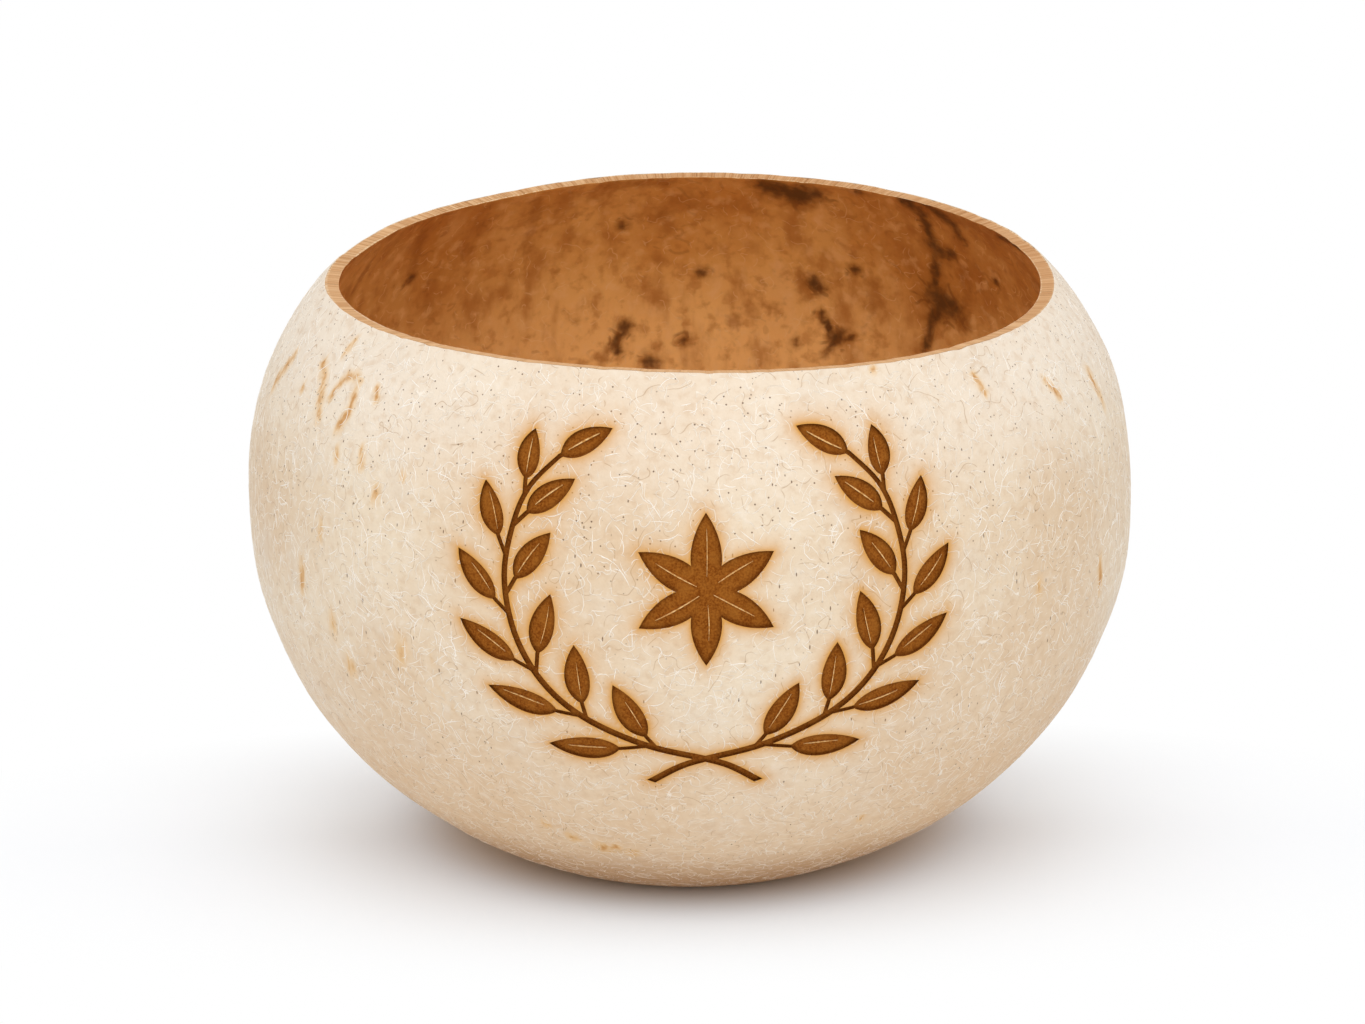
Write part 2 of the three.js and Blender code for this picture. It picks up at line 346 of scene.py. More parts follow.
# %% Outlines of the wreath and the rosette
def branch(side):
    """Outlines and leaf places of one branch: 1 is the left one, -1 its mirror image."""
    route = [Vector((side * x * HUNDREDTH, WREATH_HEIGHT + z * HUNDREDTH)) for x, z in STEM_ROUTE]
    stem = smooth_line(route, 7)
    outlines, leaves = [strip(stem, STEM_WIDTHS, side * TAIL_SLANT)], []
    for row in (INNER_LEAVES, OUTER_LEAVES):
        for i, (along, degrees, stalk, length) in enumerate(row):
            joint = place_along(stem[::-1], along * HUNDREDTH)
            heading = math.radians(degrees) if side > 0 else math.pi - math.radians(degrees)
            heel = joint + Matrix.Rotation(heading + side * STALK_BEND, 2) @ Vector((stalk * HUNDREDTH, 0))
            heart = heel + Matrix.Rotation(heading, 2) @ Vector((length * HUNDREDTH / 2, 0))
            width = LEAF_WIDTHS[0] + (LEAF_WIDTHS[1] - LEAF_WIDTHS[0]) * i / (len(row) - 1)
            leaves.append((heel, heading, length * HUNDREDTH))
            outlines.append(leaf(heel, heading, length * HUNDREDTH, width, side * LEAF_BOW))
            outlines.append(strip([joint, heel, heart], STALK_WIDTHS))
    return outlines, leaves


left_branch, left_leaves = branch(1)
right_branch, right_leaves = branch(-1)
wreath_outlines = left_branch + right_branch
middle = Vector((0, WREATH_HEIGHT))
petal_headings = [math.pi / 2 + 2 * math.pi * i / PETALS for i in range(PETALS)]
petal_leaves = [(middle, heading, PETAL_LENGTH) for heading in petal_headings]
rosette_outlines = [leaf(middle, heading, PETAL_LENGTH, PETAL_WIDTH, 0) for heading in petal_headings]
rosette_outlines.append([middle + EYE_RADIUS * Vector((math.cos(a), math.sin(a)))
                         for a in np.linspace(0, 2 * math.pi, 24, endpoint=False)])
all_outlines = wreath_outlines + rosette_outlines
print("Outlines of wreath and rosette:", len(wreath_outlines), len(rosette_outlines))

# %% [markdown]
# ## Shader helper
# A material is a net of nodes. `Wire` stands for one output in that net, so that shader maths reads like
# any other Python sum, and `Net` adds every other kind of node: its settings first, then its sockets.

# %% Wires and nets
class Wire:
    """An output of a node; sums of wires and numbers add Math nodes."""

    def __init__(self, net, socket):
        self.net = net
        self.socket = socket

    def __add__(self, other):
        return self.net.math("ADD", self, other)

    def __sub__(self, other):
        return self.net.math("SUBTRACT", self, other)

    def __rsub__(self, other):
        return self.net.math("SUBTRACT", other, self)

    def __mul__(self, other):
        return self.net.math("MULTIPLY", self, other)

    def __truediv__(self, other):
        return self.net.math("DIVIDE", self, other)

    __radd__ = __add__
    __rmul__ = __mul__


class Net:
    """A node tree under construction."""

    def __init__(self, tree):
        self.tree = tree
        tree.nodes.clear()

    def node(self, kind, settings, sockets, output=0):
        """Adds a node, sets it up, fills its sockets and gives one of its outputs."""
        node = self.tree.nodes.new("ShaderNode" + kind)
        for name, value in settings.items():
            setattr(node, name, value)
        for name, value in sockets.items():
            if isinstance(value, Wire):
                self.tree.links.new(value.socket, node.inputs[name])
            else:
                node.inputs[name].default_value = value
        return Wire(self, node.outputs[output]) if node.outputs else None

    def math(self, operation, first, second=0.0):
        return self.node("Math", {"operation": operation}, {0: first, 1: second})

    def fade(self, value, start, end):
        """A smooth step: 0 at start, 1 at end."""
        sockets = {"Value": value, "From Min": start, "From Max": end}
        return self.node("MapRange", {"interpolation_type": "SMOOTHSTEP"}, sockets)

    def coats(self, color, *coats):
        """A colour under coats of others, each given by its share and its digits."""
        for share, digits in coats:
            color = self.node("Mix", {"data_type": "RGBA"}, {0: share, 6: color, 7: tint(digits)}, 2)
        return color

    def noise(self, vector, scale, detail=2.0, offset=0.0):
        """Soft random values from 0 to 1; another offset gives another pattern."""
        sockets = {"Vector": vector, "W": offset, "Scale": scale, "Detail": detail}
        return self.node("TexNoise", {"noise_dimensions": "4D"}, sockets)

    def vector(self, operation, first, second=(0, 0, 0), output=0):
        return self.node("VectorMath", {"operation": operation}, {0: first, 1: second}, output)

    def place(self):
        """The place on the bowl."""
        return self.node("TexCoord", {}, {}, "Object")

    def axis(self, vector, name):
        """One axis of a vector."""
        return self.node("SeparateXYZ", {}, {"Vector": vector}, name)

    def painted(self, name):
        """A number painted on a piece's points."""
        return self.node("Attribute", {"attribute_name": name}, {}, "Fac")


# %% [markdown]
# Colours are written as the six hexadecimal digits that a colour picker shows, and turned into the linear
# values that Blender computes with. A finish is built up in coats of colour.

# %% Colours and material ends
def tint(digits):
    """A linear colour from hexadecimal sRGB digits."""
    parts = [int(digits[i:i + 2], 16) / 255 for i in (0, 2, 4)]
    return [p / 12.92 if p <= 0.04045 else ((p + 0.055) / 1.055) ** 2.4 for p in parts] + [1.0]


def new_net(name):
    """A new material and its empty net."""
    material = bpy.data.materials.new(name)
    material.use_nodes = True
    return material, Net(material.node_tree)


def surface(net, color, roughness, height, relief, specular):
    """Ends a net in a dull surface with a bump of the given relief."""
    normal = net.node("Bump", {}, {"Strength": 1.0, "Distance": relief, "Height": height})
    sockets = {"Base Color": color, "Roughness": roughness, "Normal": normal,
               "Specular IOR Level": specular}
    net.node("OutputMaterial", {}, {"Surface": net.node("BsdfPrincipled", {}, sockets)})
    print("Nodes of the finish:", len(net.tree.nodes))


# %% [markdown]
# ## The pale skin's finish
# The skin is the husk's innermost layer: cream, dry and papery, matted from fine fibres. The fibres that
# lie flat in it are thin lines. A line is where a noise passes its middle value, and dividing by the
# noise's slope along the skin keeps it equally thin everywhere. A second noise breaks it into short arcs.

# %% Thin lines and specks
def thin_lines(net, place, scale, width, offset):
    """Short curved lines of an even width on the rounded wall."""
    outward = net.vector("NORMALIZE", net.vector("SUBTRACT", place, (0, 0, BELLY_HEIGHT)))
    level = net.noise(place, scale, 1.0, offset)
    step = 0.1 / scale
    rises = {i: net.noise(net.vector("ADD", place, step * np.eye(3)[i]), scale, 1.0, offset) - level
             for i in range(3)}
    slope = net.vector("CROSS_PRODUCT", outward, net.node("CombineXYZ", {}, rises))
    steepness = net.vector("LENGTH", slope, output="Value") + 0.001
    gap = net.math("ABSOLUTE", level - 0.5) * step / steepness
    broken = net.fade(net.noise(place, 1.3 * scale, 1.0, offset + 5.0), 0.5, 0.56)
    return net.fade(gap, width, 0.3 * width) * broken


def specks(net, place, stretch, scale, size):
    """Dots round the points of a Voronoi pattern, long where it is stretched."""
    sockets = {"Vector": net.vector("MULTIPLY", place, stretch), "Scale": scale}
    return net.fade(net.node("TexVoronoi", {}, sockets, "Distance"), size, 0.6 * size)


# %% Ground of the skin
skin_material, net = new_net("pale_skin_finish")
place = net.place()
height = net.axis(place, "Z")
aside = net.math("ABSOLUTE", net.axis(place, "X"))
fibres = thin_lines(net, place, 210.0, 0.1 * MM, 0.0)
fibres = net.math("MAXIMUM", fibres, thin_lines(net, place, 320.0, 0.09 * MM, 2.0))
fibres = net.math("MAXIMUM", fibres, thin_lines(net, place, 450.0, 0.08 * MM, 4.0))
hairs = thin_lines(net, place, 260.0, 0.08 * MM, 11.0)
broad = net.noise(place, 30.0, 3.0, 3.0)
cloud = net.noise(place, 110.0, 3.0, 1.0)
mottle = net.noise(place, 700.0, 4.0, 7.0)
# Painted light, with the skin's own paler tone: the skin is painted paler towards the rim, more at the
# sides, where the shoulder faces up to the lamps.
paler_and_lit_top = net.fade(height, 64 * MM, 82 * MM) * (0.5 + 0.3 * net.fade(aside, 20 * MM, 48 * MM))
color = net.coats(
    tint("e0c6a6"), (net.fade(broad, 0.35, 0.65), "ead8be"), (paler_and_lit_top, "f0e3d2"),
    (net.fade(cloud, 0.52, 0.72) * 0.4, "e0d1be"),
    # Painted shade: warmer and darker towards the bottom, for the shade and the floor's warm bounce under
    # the belly, and darker still near the base, a painted contact shade.
    (net.fade(height, 46 * MM, 6 * MM) * 0.5, "dcb07c"),
    (net.fade(height, 18 * MM, 5 * MM) * 0.7, "a9743f"),
    (net.fade(mottle, 0.52, 0.3) * 0.3, "cba67e"), (net.fade(mottle, 0.53, 0.74) * 0.32, "f5eadb"),
    (hairs * 0.5, "a98358"), (fibres * 0.6, "fdf4e6"))
print("Nodes for the skin's ground:", len(net.tree.nodes))

# %% [markdown]
# Rusty stains are where the husk was once damp: a soft orange wash with sharper, streaky cores. Fine dark
# specks and hairs are cut fibre ends. Heat browned the skin round the cuts: the browning falls to two
# fifths with every millimetre. Stains and the distance from the cuts are painted onto the mesh as numbers,
# one for each point, and the net gives them their uneven edges.

# %% Stains, specks and browning of the skin
stain = net.painted("stain")
streaks = net.noise(net.vector("MULTIPLY", place, (1.0, 1.0, 0.22)), 1100.0, 3.0, 6.0)
uneven = (streaks - 0.5) * 1.3 + (cloud - 0.5) * 0.6
rare = net.fade(net.noise(place, 50.0, 2.0, 8.0) + (streaks - 0.5) * 0.5, 0.64, 0.85)
wash = net.math("MAXIMUM", net.fade(stain + uneven * 0.7, 0.1, 1.0), rare * 0.6)
dots = specks(net, place, (1.0, 1.0, 1.0), 880.0, 0.135) * net.fade(cloud, 0.7, 0.5)
dots = dots * (0.35 + 0.65 * net.fade(height, 50 * MM, 68 * MM))
dots = net.math("MAXIMUM", dots, specks(net, place, (1.0, 1.0, 0.28), 700.0, 0.08))
scorch = net.painted("scorch")
browning = net.math("POWER", 0.4, net.math("MAXIMUM", scorch, 0.0)) * (0.6 + cloud * 0.8)
browned = net.math("MINIMUM", browning, 1.0) * (1 - 0.4 * fibres)
color = net.coats(
    color, (wash * 0.65, "e4b46c"), (net.fade(stain + uneven, 0.6, 1.12) * 0.78, "bc7a2b"),
    (dots * 0.85, "553318"), (browned, "d59948"))
relief = fibres * 0.14 + mottle * 0.75 + net.noise(place, 2400.0, 2.0, 9.0) * 0.3
surface(net, color, 0.6 + mottle * 0.16, relief, 0.26 * MM, 0.3)

# %% [markdown]
# ## Burnt wood
# The beam that cut the wreath left a dry, grainy brown floor. Along the edges of each cut it is painted
# darker, a painted shade for the cut's corner, and the walls take that painted shade in full. Where the cut
# meets the skin, its walls are browned through.

# %% Material of the burnt wood
burnt_material, net = new_net("burnt_wood_finish")
place = net.place()
grain = net.noise(place, 3600.0, 3.0, 0.0)
patches = net.noise(place, 500.0, 3.0, 1.0)
# Painted shade: the burnt wood is darker within about 0.65 mm of a cut's edge, and on the cut's walls,
# which carry no painted distance.
edge = net.painted("edge") + (patches - 0.5) * 0.6
color = net.coats(
    tint("743903"), (net.fade(grain, 0.3, 0.7), "9c5c1c"), (net.fade(patches, 0.42, 0.7) * 0.5, "a26422"),
    (net.fade(edge, 0.65, 0.0) * 0.45, "5c2a00"))
surface(net, color, 0.9, grain, 0.1 * MM, 0.1)

# %% [markdown]
# ## Cutting the wreath through the skin
# Each outline becomes a face that is extruded to a beam, from the bowl's axis out past its front. A
# Boolean modifier takes the beams out of the skin. The cut's walls keep the beams' material, so they
# come out browned.

# %% Beams
SHARP_ANGLE = math.radians(40)


def boolean(piece, operation, **tool):
    """Adds a Boolean modifier to a piece, with an object or a collection as its tool."""
    modifier = piece.modifiers.new("carve", "BOOLEAN")
    modifier.operation = operation
    modifier.solver = "MANIFOLD"
    modifier.material_mode = "TRANSFER"
    modifier.operand_type = "COLLECTION" if "collection" in tool else "OBJECT"
    for name, value in tool.items():
        setattr(modifier, name, value)


def beams(name, outlines):
    """One object that joins the straight beams of all the flat outlines."""
    parts = []
    for outline in outlines:
        bm = bmesh.new()
        face = bm.faces.new([bm.verts.new((place[0], 0, place[1])) for place in outline])
        ends = bmesh.ops.extrude_face_region(bm, geom=[face])["geom"]
        outer = [vert for vert in ends if isinstance(vert, bmesh.types.BMVert)]
        bmesh.ops.translate(bm, verts=outer, vec=(0, -1.2 * BELLY_RADIUS, 0))
        bmesh.ops.recalc_face_normals(bm, faces=bm.faces)
        parts.append(make_piece(name, bm))
        parts[-1].data.materials.append(burnt_material)
    others = bpy.data.collections.new(name)
    for part in parts[1:]:
        others.objects.link(part)
    boolean(parts[0], "UNION", collection=others)
    whole = applied(parts[0])
    for part in parts[1:]:
        bpy.data.objects.remove(part)
    bpy.data.collections.remove(others)
    return new_object(name, whole)


def carve(piece, tool, operation):
    """A piece cut by a tool, or kept only inside it."""
    name = piece.name
    boolean(piece, operation, object=tool)
    mesh = applied(piece)
    bpy.data.objects.remove(tool)
    mesh.set_sharp_from_angle(angle=SHARP_ANGLE)
    return new_object(name, mesh)


# %% [markdown]
# The skin is 0.6 mm thick on the wall. Sanding thinned it to a sharp edge at the sawn rim, so the rim
# shows wood almost to its outer edge.

# %% Skin layer
SKIN_THICKNESS = 0.6 * MM
SKIN_RIM_THICKNESS = 0.1 * MM
SKIN_LIFT = 0.3 * MM


def ring_heights(lowest, lower_rings, upper_rings):
    """Heights of rings, evenly spaced along the outside from lowest up to the rim."""
    low_angle = math.asin((BELLY_HEIGHT - lowest) / LOWER_REACH)
    high_angle = math.asin((RIM_HEIGHT - BELLY_HEIGHT) / UPPER_REACH)
    lower = BELLY_HEIGHT - LOWER_REACH * np.sin(np.linspace(low_angle, 0, lower_rings, endpoint=False))
    return np.append(lower, BELLY_HEIGHT + UPPER_REACH * np.sin(np.linspace(0, high_angle, upper_rings)))


def skin_depth(heights):
    """Thickness of the skin at each height."""
    share = np.clip((RIM_HEIGHT - heights) / (4 * MM), 0, 1)
    return SKIN_RIM_THICKNESS + (SKIN_THICKNESS - SKIN_RIM_THICKNESS) * share


def rim_height_at(radius):
    """Height of the sawn rim, which slopes in, at a radius."""
    return RIM_HEIGHT - RIM_DIP * (RIM_RADIUS - radius) / RIM_WALL


outer_heights = ring_heights(SKIN_LIFT, 88, 62)
outer_side = list(zip(outside_radius(outer_heights), outer_heights))
inner_heights = ring_heights(SKIN_LIFT, 16, 24)
inner_side = list(zip(outside_radius(inner_heights, skin_depth(inner_heights)), inner_heights))
inner_side[-1] = (inner_side[-1][0], rim_height_at(inner_side[-1][0]))
skin_bm = turned([*outer_side, *inner_side[::-1], outer_side[0]], FINE_FRONT)
round_ring(skin_bm, RIM_RADIUS, RIM_HEIGHT, 0.06 * MM)
skin = make_layer("skin_layer", skin_bm, skin_material)
skin = carve(skin, beams("skin_cutter", all_outlines), "DIFFERENCE")
report(skin)

# %% [markdown]
# The browning fades with the distance from the nearest cut. It is measured in the plane of the drawing,
# for the points at the front only, and painted on in millimetres.

# %% Distance from the cuts
FAR = 4 * MM


def outline_distance(places, outline):
    """Distance of flat places from a closed outline, negative inside it."""
    start = np.array(outline)
    along = np.roll(start, -1, axis=0) - start
    offset = places[:, None] - start
    share = np.clip((offset * along).sum(axis=2) / (along ** 2).sum(axis=1), 0, 1)
    gap = np.linalg.norm(offset - share[..., None] * along, axis=2).min(axis=1)
    above = offset[..., 1] < 0
    crosses = above != np.roll(above, -1, axis=1)
    reach_x = offset[..., 0] - along[:, 0] * offset[..., 1] / np.where(along[:, 1] == 0, 1, along[:, 1])
    inside = (crosses & (reach_x < 0)).sum(axis=1) % 2 == 1
    return np.where(inside, -gap, gap)


def cut_distance(points, outlines):
    """Distance of points from the nearest cut, negative in it and never more than FAR."""
    flat = points[:, [0, 2]]
    nearest = np.full(len(points), FAR)
    for outline in outlines:
        corners = np.array(outline)
        near = ((flat > corners.min(axis=0) - FAR) & (flat < corners.max(axis=0) + FAR)).all(axis=1)
        near &= points[:, 1] < 0
        nearest[near] = np.minimum(nearest[near], outline_distance(flat[near], outline))
    return nearest


def paint(piece, name, values):
    """Keeps one number for each point of a piece."""
    layer = piece.data.attributes.new(name, "FLOAT", "POINT")
    layer.data.foreach_set("value", np.asarray(values, dtype=np.float32))


skin_distance = cut_distance(coordinates(skin), all_outlines)
paint(skin, "scorch", skin_distance / MM)
print("Points near a cut:", int((skin_distance < 2 * MM).sum()))

# %% [markdown]
# ## Rust stains
# Stains are placed where the photograph has them, by the angle round the bowl and the height, with a
# radius in millimetres. A stain with two or more places is a streak that runs through them. The wash
# round a stain reaches three times as far as its core, and more than twice as far up and down. The marks
# in the wood inside use the same measure. The back of the bowl isn't seen: its few stains are guessed.

# %% Stains on the skin
SKIN_STAINS = [
    (0.6, (-165.5, 78), (-166.5, 76), (-168, 73.5)), (0.4, (-157, 76)),
    (0.5, (-150, 74), (-151, 76), (-153, 79), (-155, 80)),
    (0.5, (-150.5, 84), (-151, 82.5)),
    (0.4, (-149, 77), (-148.5, 78.5), (-147.5, 80), (-145, 80.5), (-144, 80)),
    (0.5, (-144, 79), (-143.5, 76), (-144.5, 74)), (0.35, (-140, 80), (-139, 78.5)),
    (0.35, (-143.5, 71), (-143, 70)), (0.4, (-138.5, 72), (-138, 70.5)), (0.5, (-134.5, 67.5)),
    (0.3, (-130.5, 70.5)), (0.4, (-144.5, 60), (-144.5, 59)),
    (0.55, (-149, 52), (-149, 50.5)), (0.6, (-142, 46.5)), (0.6, (-139.5, 41)), (0.7, (-129.5, 46)),
    (0.4, (-48, 82.5), (-47.5, 80.5)), (0.5, (-34, 79), (-32.5, 77)), (0.4, (-64.5, 85.5)),
    (0.8, (-20.5, 75.5), (-20, 73)), (0.55, (-28.5, 50.5), (-28, 48)), (0.5, (-44, 52.5)),
    (0.5, (-113.5, 20)), (0.6, (-110, 18)), (0.8, (-105.5, 16.5)), (0.6, (-103.5, 17)),
    (0.6, (-101, 16)), (0.4, (-66, 20.5)),
    (0.6, (20, 78), (21, 73)), (0.5, (64, 62), (66, 58)), (0.6, (118, 80), (119, 74)), (0.5, (150, 55)),
]


def mark_field(points, marks, radius_at, stretch=1.0):
    """Strength of marks at points: 1 on a mark's line, 0 from three times its size, stretched upright."""
    field = np.zeros(len(points))
    points = points / (1, 1, stretch)
    for size, *places in marks:
        angles, heights = np.radians([a for a, z in places]), MM * np.array([z for a, z in places])
        radii = radius_at(heights)
        line = np.stack([radii * np.cos(angles), radii * np.sin(angles), heights / stretch], axis=1)
        for start, end in zip(line, line[1:] if len(line) > 1 else line):
            along = end - start
            share = np.clip((points - start) @ along / (along @ along + 1e-12), 0, 1)
            gap = np.linalg.norm(points - start - share[:, None] * along, axis=1)
            field = np.maximum(field, 1 - gap / (3 * size * MM))
    return field


STAIN_STRETCH = 2.4
stain_field = mark_field(coordinates(skin), SKIN_STAINS, outside_radius, STAIN_STRETCH)
paint(skin, "stain", stain_field)
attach(skin, "root")
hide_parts("pale_skin")
print("Stained points:", int((stain_field > 0).sum()))

# %% [markdown]
# ## The burnt floors
# A thin film lies at the bottom of each cut, almost half a millimetre below the skin's face. It is the part
# of a layer that the beams hold, so it fits its cut exactly. The number painted on it is the distance in
# from the cut's edge, for the painted shade that darkens the floor along its edges.

# %% Burnt floors
CUT_DEPTH = 0.45 * MM
FILM_THICKNESS = 0.15 * MM
FILM_FOOT = 28 * MM


def film(name, outlines, depth, thickness, material):
    """The part of a layer below the outside that lies within the outlines."""
    heights = ring_heights(FILM_FOOT, 44, 62)[:-6]
    outer = list(zip(outside_radius(heights, depth), heights))
    inner = list(zip(outside_radius(heights, depth + thickness), heights))
    piece = make_layer(name, turned([*outer, *inner[::-1], outer[0]], FINE_FRONT), material)
    piece = carve(piece, beams(name + "_cutter", outlines), "INTERSECT")
    piece.data.materials.clear()
    piece.data.materials.append(material)
    return piece


for name, node, outlines in (("wreath_floor", "laurel_burn", wreath_outlines),
                             ("rosette_floor", "rosette_burn", rosette_outlines)):
    floor_piece = film(name, outlines, CUT_DEPTH, FILM_THICKNESS, burnt_material)
    depth_in = -np.minimum(cut_distance(coordinates(floor_piece), outlines), 0)
    # Painted shade: this distance darkens each floor along its edges.
    paint(floor_piece, "edge", depth_in / MM)
    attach(floor_piece, "root")
    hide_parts(node)
    report(floor_piece)

# %% [markdown]
# ## Veins of the leaves
# The beam skipped a thin line in the middle of each leaf, so a sliver of the pale layer stands there. It
# starts near the heel, ends past the middle and is thinnest at both ends.

# %% Veins
import random

chance = random.Random(5)
VEIN_WIDTHS = (0.02 * MM, 0.2 * MM, 0.02 * MM)
VEIN_DEPTH = 0.2 * MM
VEIN_THICKNESS = 0.25 * MM


def vein(heel, heading, length):
    """Outline of the sliver along a leaf's middle."""
    turn = Matrix.Rotation(heading, 2)
    start, end = chance.uniform(0.1, 0.2), chance.uniform(0.66, 0.8)
    sway = chance.uniform(-0.04, 0.04) * length
    line = [heel + turn @ Vector((t * length, sway * math.sin(math.pi * t)))
            for t in np.linspace(start, end, 8)]
    return strip(line, VEIN_WIDTHS)


vein_material, net = new_net("leaf_vein_finish")
place = net.place()
speckle = net.noise(place, 2200.0, 3.0, 0.0)
color = net.coats(tint("c98f4c"), (net.fade(speckle, 0.35, 0.65), "f0c588"))
surface(net, color, 0.9, speckle, 0.08 * MM, 0.05)

vein_outlines = [vein(*place) for place in left_leaves + right_leaves + petal_leaves]
veins = film("leaf_veins", vein_outlines, VEIN_DEPTH, VEIN_THICKNESS, vein_material)
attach(veins, "root")
report(veins)

# %% [markdown]
# ## Wood of the shell
# Inside, the scraped wood is warm brown and satin, clouded, with darker veins and blotches where the
# shell's vessels ran; it is painted paler down in the hollow and darker towards the side walls, as painted
# light and shade. The sawn rim shows the same wood across its fibres: paler, with short streaks from the
# outer to the inner edge, painted highlights along both edges away from the front, and a brown outer line
# at the front. The base is sanded flat and shows the wood too.

# %% Material of the inside
inside_material, net = new_net("inside_wood_finish")
place = net.place()
clouds = net.noise(place, 60.0, 4.0, 0.0)
fine = net.noise(place, 420.0, 4.0, 1.0)
strands = net.noise(net.vector("MULTIPLY", place, (1.0, 1.0, 0.4)), 210.0, 4.0, 2.0)
height = net.axis(place, "Z")
aside = net.math("ABSOLUTE", net.axis(place, "X"))
flecks = thin_lines(net, place, 330.0, 0.12 * MM, 4.0)
strokes = thin_lines(net, place, 240.0, 0.4 * MM, 8.0) * net.fade(clouds, 0.55, 0.4)
color = net.coats(
    tint("ce8e42"), (net.fade(clouds, 0.3, 0.7), "e6b063"),
    # Painted light: paler down in the hollow, where the wall faces up to the lamps. Painted shade: darker
    # towards the side walls.
    (net.fade(height, 74 * MM, 52 * MM) * 0.8, "fac77e"),
    (net.fade(aside, 12 * MM, 45 * MM) * 0.32, "a8661f"),
    (net.fade(strands, 0.48, 0.7) * 0.65, "a96827"), (net.fade(strands, 0.46, 0.3) * 0.4, "eab876"),
    (net.fade(fine, 0.5, 0.32) * 0.5, "b0702f"), (net.fade(fine, 0.52, 0.7) * 0.45, "efbf80"),
    (flecks * 0.4, "f0c68c"), (strokes * 0.28, "8c5218"))
print("Nodes for the inside's ground:", len(net.tree.nodes))

# %% [markdown]
# The shell's vessels left marks: soft brown shades, and dark blots with a brown fringe and thin branches.
# As on the skin, they are painted numbers that get ragged edges from a noise.

# %% Marks of the inside
ragged = (net.noise(place, 240.0, 3.0, 3.0) - 0.5) * 1.5
ragged = ragged + (net.noise(place, 900.0, 3.0, 9.0) - 0.5) * 0.9
loose = net.fade(net.noise(place, 120.0, 5.0, 7.0), 0.6, 0.74)
shades = net.painted("shade")
blots = net.painted("blot")
soft = net.math("MAXIMUM", loose * 0.6, net.fade(shades + ragged, 0.15, 0.95))
ragged_blots = blots + ragged * 0.6
branches = thin_lines(net, place, 210.0, 0.45 * MM, 15.0) * net.fade(blots, 0.0, 0.3)
color = net.coats(
    color, (soft * 0.6, "9c5c1a"), (net.fade(ragged_blots, 0.0, 0.75) * 0.7, "935715"),
    (net.fade(ragged_blots, 0.42, 0.95) * 0.9, "54300b"), (branches * 0.5, "7a4813"))
surface(net, color, 0.45 + fine * 0.2, fine + strands * 0.6, 0.12 * MM, 0.35)

# %% Material of the sawn rim
rim_material, net = new_net("rim_wood_finish")
place = net.place()
flat_place = net.vector("MULTIPLY", place, (1.0, 1.0, 0.0))
way = net.vector("NORMALIZE", flat_place)
streak = net.noise(way, 55.0, 3.0, 0.0)
hair = net.noise(way, 260.0, 2.0, 1.0)
radius = net.vector("LENGTH", flat_place, output="Value")
behind = net.vector("DOT_PRODUCT", place, (0.7, 0.7, 0.0), "Value")
depth = net.axis(place, "Y")
front = net.fade(depth, -20 * MM, -48 * MM)
inward = net.fade(radius, RIM_RADIUS - 1.0 * MM, RIM_RADIUS - RIM_WALL) * net.fade(depth, 0.0, 40 * MM)
outer_line = net.fade(radius, RIM_RADIUS - 0.45 * MM, RIM_RADIUS - 0.15 * MM)
inner_line = net.fade(radius, RIM_RADIUS - RIM_WALL + 0.35 * MM, RIM_RADIUS - RIM_WALL + 0.1 * MM)
broken = net.fade(net.noise(way, 150.0, 2.0, 2.0), 0.42, 0.58)
# Painted highlights: broken pale lines along the outer and inner edges of the rim, away from the front.
edge_highlights = net.math("MAXIMUM", outer_line, inner_line) * broken * (1 - front)
color = net.coats(
    tint("e0b384"), (net.fade(streak, 0.35, 0.65), "c28d5c"),
    (net.fade(hair, 0.48, 0.32) * 0.5, "ecc79c"), (net.fade(hair, 0.53, 0.68) * 0.7, "85552a"),
    (net.fade(behind, 5 * MM, 40 * MM) * 0.3, "b98050"), (front * 0.6, "dcae7f"), (inward * 0.15, "94602e"),
    (edge_highlights * 0.7, "f0d6b0"), (outer_line * front * 0.85, "8a5c34"))
surface(net, color, 0.8, hair + streak, 0.1 * MM, 0.08)

# %% Material of the sanded base
base_material, net = new_net("base_wood_finish")
place = net.place()
cloud = net.noise(place, 90.0, 4.0, 0.0)
fleck = net.noise(place, 900.0, 3.0, 1.0)
rings = net.noise(net.vector("MULTIPLY", place, (1.0, 0.15, 1.0)), 700.0, 2.0, 2.0)
color = net.coats(
    tint("a87440"), (net.fade(cloud, 0.3, 0.7), "c79a66"), (net.fade(fleck, 0.55, 0.7) * 0.5, "7f4f22"))
surface(net, color, 0.7, fleck + rings, 0.08 * MM, 0.3)

# %% [markdown]
# The wood is spun in one piece from the middle of the base, up behind the skin, over the rim and down
# the inside.

# %% Wood layer
BELLY_WALL = 2.8 * MM
FLOOR_THICKNESS = 4 * MM
BOND = 0.02 * MM

back_heights = ring_heights(0.0, 18, 24)
back = list(zip(outside_radius(back_heights, skin_depth(back_heights) + BOND), back_heights))
back[-1] = (back[-1][0], rim_height_at(back[-1][0]))
HOLLOW_WIDE = BELLY_RADIUS - BELLY_WALL
HOLLOW_DEEP = BELLY_HEIGHT - FLOOR_THICKNESS
HOLLOW_RISE = RIM_HEIGHT - RIM_DIP - BELLY_HEIGHT
HOLLOW_TALL = reach(HOLLOW_WIDE, RIM_RADIUS - RIM_WALL, HOLLOW_RISE, SHOULDER_FULLNESS)


def hollow_radius(height):
    """Radius of the inside at each height."""
    return curve_radius(height, HOLLOW_WIDE, HOLLOW_DEEP, HOLLOW_TALL)


